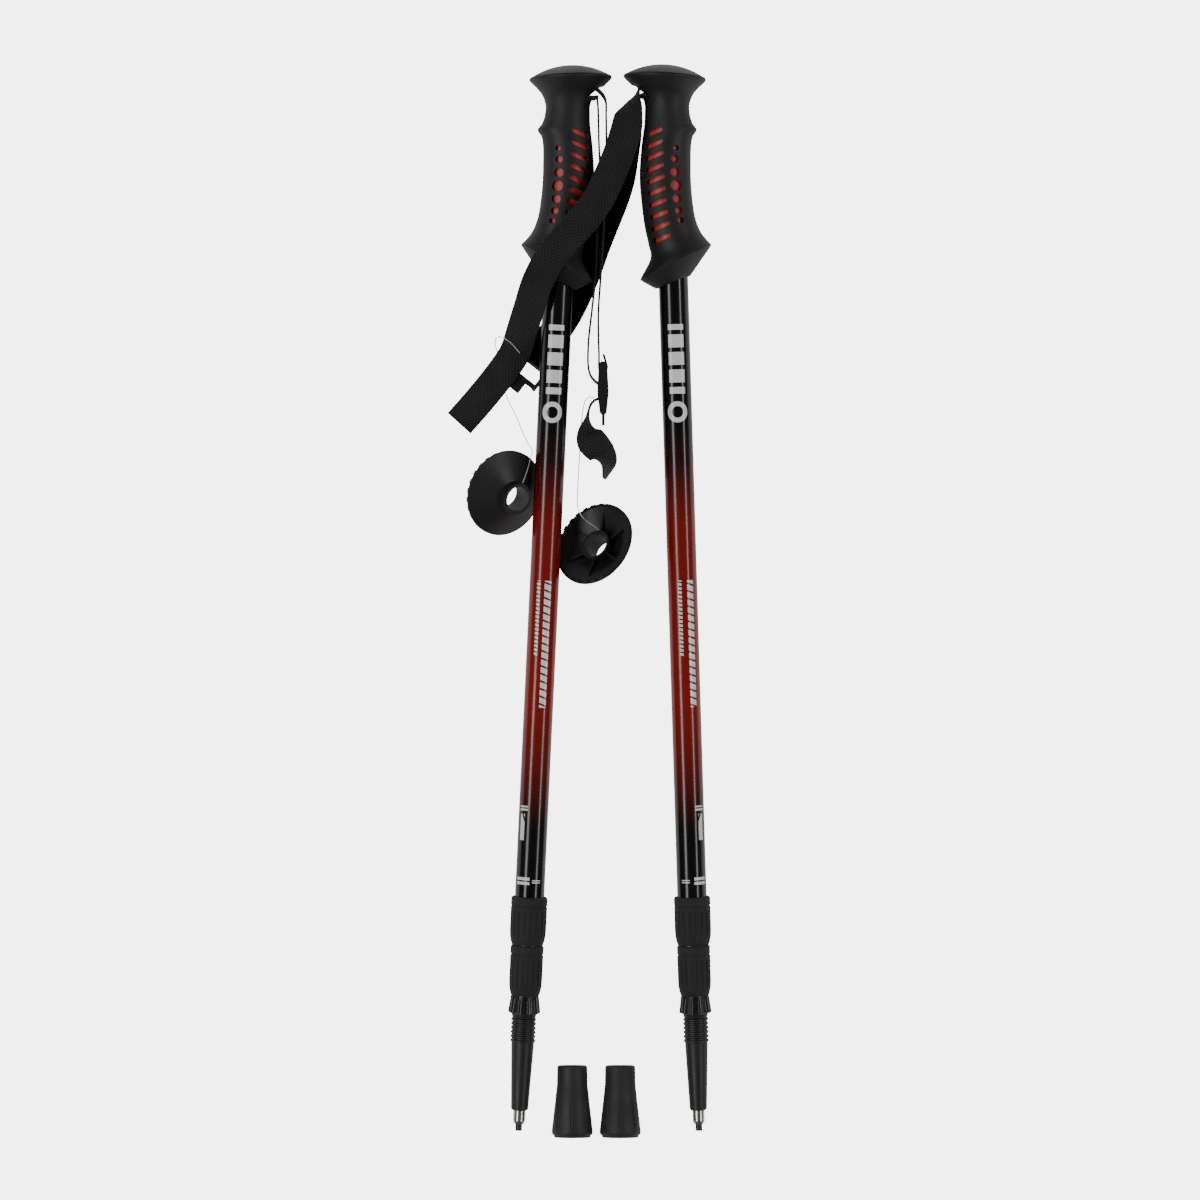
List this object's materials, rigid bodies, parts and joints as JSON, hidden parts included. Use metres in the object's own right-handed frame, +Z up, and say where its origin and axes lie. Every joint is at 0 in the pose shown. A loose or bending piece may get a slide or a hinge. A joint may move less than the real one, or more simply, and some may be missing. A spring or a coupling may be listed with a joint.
{
  "type": "trekking poles",
  "caption": "Pair of telescoping twist-lock trekking poles, collapsed and laid side by side, with wrist straps, loose mud baskets and rubber tip covers.",
  "frame": {"origin": "centre of the underside of the pair's box, on the floor they lie on, measured without the nylon ties", "axes": "+Y towards the grips, +Z up, +X to the right seen from above"},
  "size_m": [0.1614, 0.6525, 0.0488],
  "materials": {
    "grip_rubber": "matte soft-touch rubber",
    "core_red": "matte",
    "cap_plastic": "satin",
    "steel": "plain",
    "webbing": "woven polyester",
    "black_nylon": "satin moulded nylon",
    "painted_tube": "gloss lacquer, black fading to dark red and back",
    "guide_plastic": "moulded acetal",
    "collar_rubber": "matte",
    "bare_tube": "satin anodised",
    "brass": "turned",
    "sleeve_plastic": "moulded nylon",
    "tip_plastic": "satin moulded",
    "stop_plastic": "gloss",
    "bright_steel": "bright nickel",
    "carbide": "sintered",
    "basket_plastic": "satin moulded",
    "tip_rubber": "matte",
    "clear_nylon": "clear filament"
  },
  "bodies": {
    "left_upper": {"left_grip": "grip_rubber", "left_grip_core": "core_red", "left_grip_cap": "cap_plastic", "left_strap_pin": "steel", "left_strap": "webbing", "left_buckle": "black_nylon", "left_upper_tube": "painted_tube", "left_upper_guide": "guide_plastic", "left_upper_collar": "collar_rubber", "left_tie": "clear_nylon", "right_tie": "clear_nylon"},
    "left_middle": {"left_middle_tube": "bare_tube", "left_middle_guide": "guide_plastic", "left_middle_collar": "collar_rubber", "left_shock_plug": "brass", "left_shock_spring": "steel"},
    "left_plunger": {"left_shock_plunger": "steel"},
    "left_upper_sleeve": {"left_upper_lock_sleeve": "sleeve_plastic"},
    "left_upper_cone": {"left_upper_lock_cone": "brass"},
    "left_lower": {"left_lower_tube": "bare_tube", "left_lower_lock_screw": "steel", "left_flex_tip": "tip_plastic", "left_basket_stop": "stop_plastic", "left_ferrule": "bright_steel", "left_carbide_tip": "carbide"},
    "left_lower_sleeve": {"left_lower_lock_sleeve": "sleeve_plastic"},
    "left_lower_cone": {"left_lower_lock_cone": "brass"},
    "left_basket": {"left_basket": "basket_plastic"},
    "left_rubber": {"left_rubber_tip": "tip_rubber", "left_tip_washer": "steel"},
    "right_upper": {"right_grip": "grip_rubber", "right_grip_core": "core_red", "right_grip_cap": "cap_plastic", "right_strap_pin": "steel", "right_strap": "webbing", "right_buckle": "black_nylon", "right_upper_tube": "painted_tube", "right_upper_guide": "guide_plastic", "right_upper_collar": "collar_rubber"},
    "right_middle": {"right_middle_tube": "bare_tube", "right_middle_guide": "guide_plastic", "right_middle_collar": "collar_rubber", "right_shock_plug": "brass", "right_shock_spring": "steel"},
    "right_plunger": {"right_shock_plunger": "steel"},
    "right_upper_sleeve": {"right_upper_lock_sleeve": "sleeve_plastic"},
    "right_upper_cone": {"right_upper_lock_cone": "brass"},
    "right_lower": {"right_lower_tube": "bare_tube", "right_lower_lock_screw": "steel", "right_flex_tip": "tip_plastic", "right_basket_stop": "stop_plastic", "right_ferrule": "bright_steel", "right_carbide_tip": "carbide"},
    "right_lower_sleeve": {"right_lower_lock_sleeve": "sleeve_plastic"},
    "right_lower_cone": {"right_lower_lock_cone": "brass"},
    "right_basket": {"right_basket": "basket_plastic"},
    "right_rubber": {"right_rubber_tip": "tip_rubber", "right_tip_washer": "steel"}
  },
  "joints": [
    {"name": "left_middle_extend", "type": "slide", "parent": "left_upper", "child": "left_middle", "axis": [-0.0474, -0.9985, -0.0257], "range_m": [0, 0.35]},
    {"name": "left_shock", "type": "slide", "parent": "left_middle", "child": "left_plunger", "axis": [-0.0474, -0.9985, -0.0257], "range_m": [0, 0.01], "stiffness_N_per_m": 8000, "deforming": ["left_shock_spring"]},
    {"name": "left_upper_twist", "type": "hinge", "parent": "left_plunger", "child": "left_upper_sleeve", "pos_m": [-0.0093, 0.26365, 0.02309], "axis": [0.0474, 0.9985, 0.0257], "range_deg": [0, 360]},
    {"name": "left_upper_cone_draw", "type": "slide", "parent": "left_upper_sleeve", "child": "left_upper_cone", "axis": [0.0474, 0.9985, 0.0257], "range_m": [0, 0.002]},
    {"name": "left_lower_extend", "type": "slide", "parent": "left_middle", "child": "left_lower", "axis": [-0.0474, -0.9985, -0.0257], "range_m": [0, 0.35]},
    {"name": "left_lower_twist", "type": "hinge", "parent": "left_lower", "child": "left_lower_sleeve", "pos_m": [-0.01352, 0.17478, 0.0208], "axis": [0.0474, 0.9985, 0.0257], "range_deg": [0, 360]},
    {"name": "left_lower_cone_draw", "type": "slide", "parent": "left_lower_sleeve", "child": "left_lower_cone", "axis": [0.0474, 0.9985, 0.0257], "range_m": [0, 0.002]},
    {"name": "left_basket_loose", "type": "slide", "parent": "left_upper", "child": "left_basket", "axis": [-1, 0, 0], "range_m": [0, 0.06], "deforming": ["left_tie"]},
    {"name": "left_rubber_loose", "type": "slide", "parent": "left_upper", "child": "left_rubber", "axis": [0, 0, 1], "range_m": [0, 0.1]},
    {"name": "right_middle_extend", "type": "slide", "parent": "right_upper", "child": "right_middle", "axis": [0.0307, -0.9992, -0.0257], "range_m": [0, 0.35]},
    {"name": "right_shock", "type": "slide", "parent": "right_middle", "child": "right_plunger", "axis": [0.0307, -0.9992, -0.0257], "range_m": [0, 0.01], "stiffness_N_per_m": 8000, "deforming": ["right_shock_spring"]},
    {"name": "right_upper_twist", "type": "hinge", "parent": "right_plunger", "child": "right_upper_sleeve", "pos_m": [0.05501, 0.26403, 0.02309], "axis": [-0.0307, 0.9992, 0.0257], "range_deg": [0, 360]},
    {"name": "right_upper_cone_draw", "type": "slide", "parent": "right_upper_sleeve", "child": "right_upper_cone", "axis": [-0.0307, 0.9992, 0.0257], "range_m": [0, 0.002]},
    {"name": "right_lower_extend", "type": "slide", "parent": "right_middle", "child": "right_lower", "axis": [0.0307, -0.9992, -0.0257], "range_m": [0, 0.35]},
    {"name": "right_lower_twist", "type": "hinge", "parent": "right_lower", "child": "right_lower_sleeve", "pos_m": [0.05774, 0.1751, 0.0208], "axis": [-0.0307, 0.9992, 0.0257], "range_deg": [0, 360]},
    {"name": "right_lower_cone_draw", "type": "slide", "parent": "right_lower_sleeve", "child": "right_lower_cone", "axis": [-0.0307, 0.9992, 0.0257], "range_m": [0, 0.002]},
    {"name": "right_basket_loose", "type": "slide", "parent": "left_upper", "child": "right_basket", "axis": [0.7071, 0, 0.7071], "range_m": [0, 0.06], "deforming": ["right_tie"]},
    {"name": "right_rubber_loose", "type": "slide", "parent": "left_upper", "child": "right_rubber", "axis": [0, 0, 1], "range_m": [0, 0.1]},
    {"name": "right_pole_slide", "type": "slide", "parent": "left_upper", "child": "right_upper", "axis": [-0.0475, -0.9989, 0], "range_m": [0, 0.02], "deforming": ["left_tie"]}
  ],
  "couplings": [
    {"joint": "left_upper_twist", "follows": "left_upper_cone_draw", "rad_per_m": 3141.6},
    {"joint": "left_lower_twist", "follows": "left_lower_cone_draw", "rad_per_m": 3141.6},
    {"joint": "right_upper_twist", "follows": "right_upper_cone_draw", "rad_per_m": 3141.6},
    {"joint": "right_lower_twist", "follows": "right_lower_cone_draw", "rad_per_m": 3141.6}
  ]
}
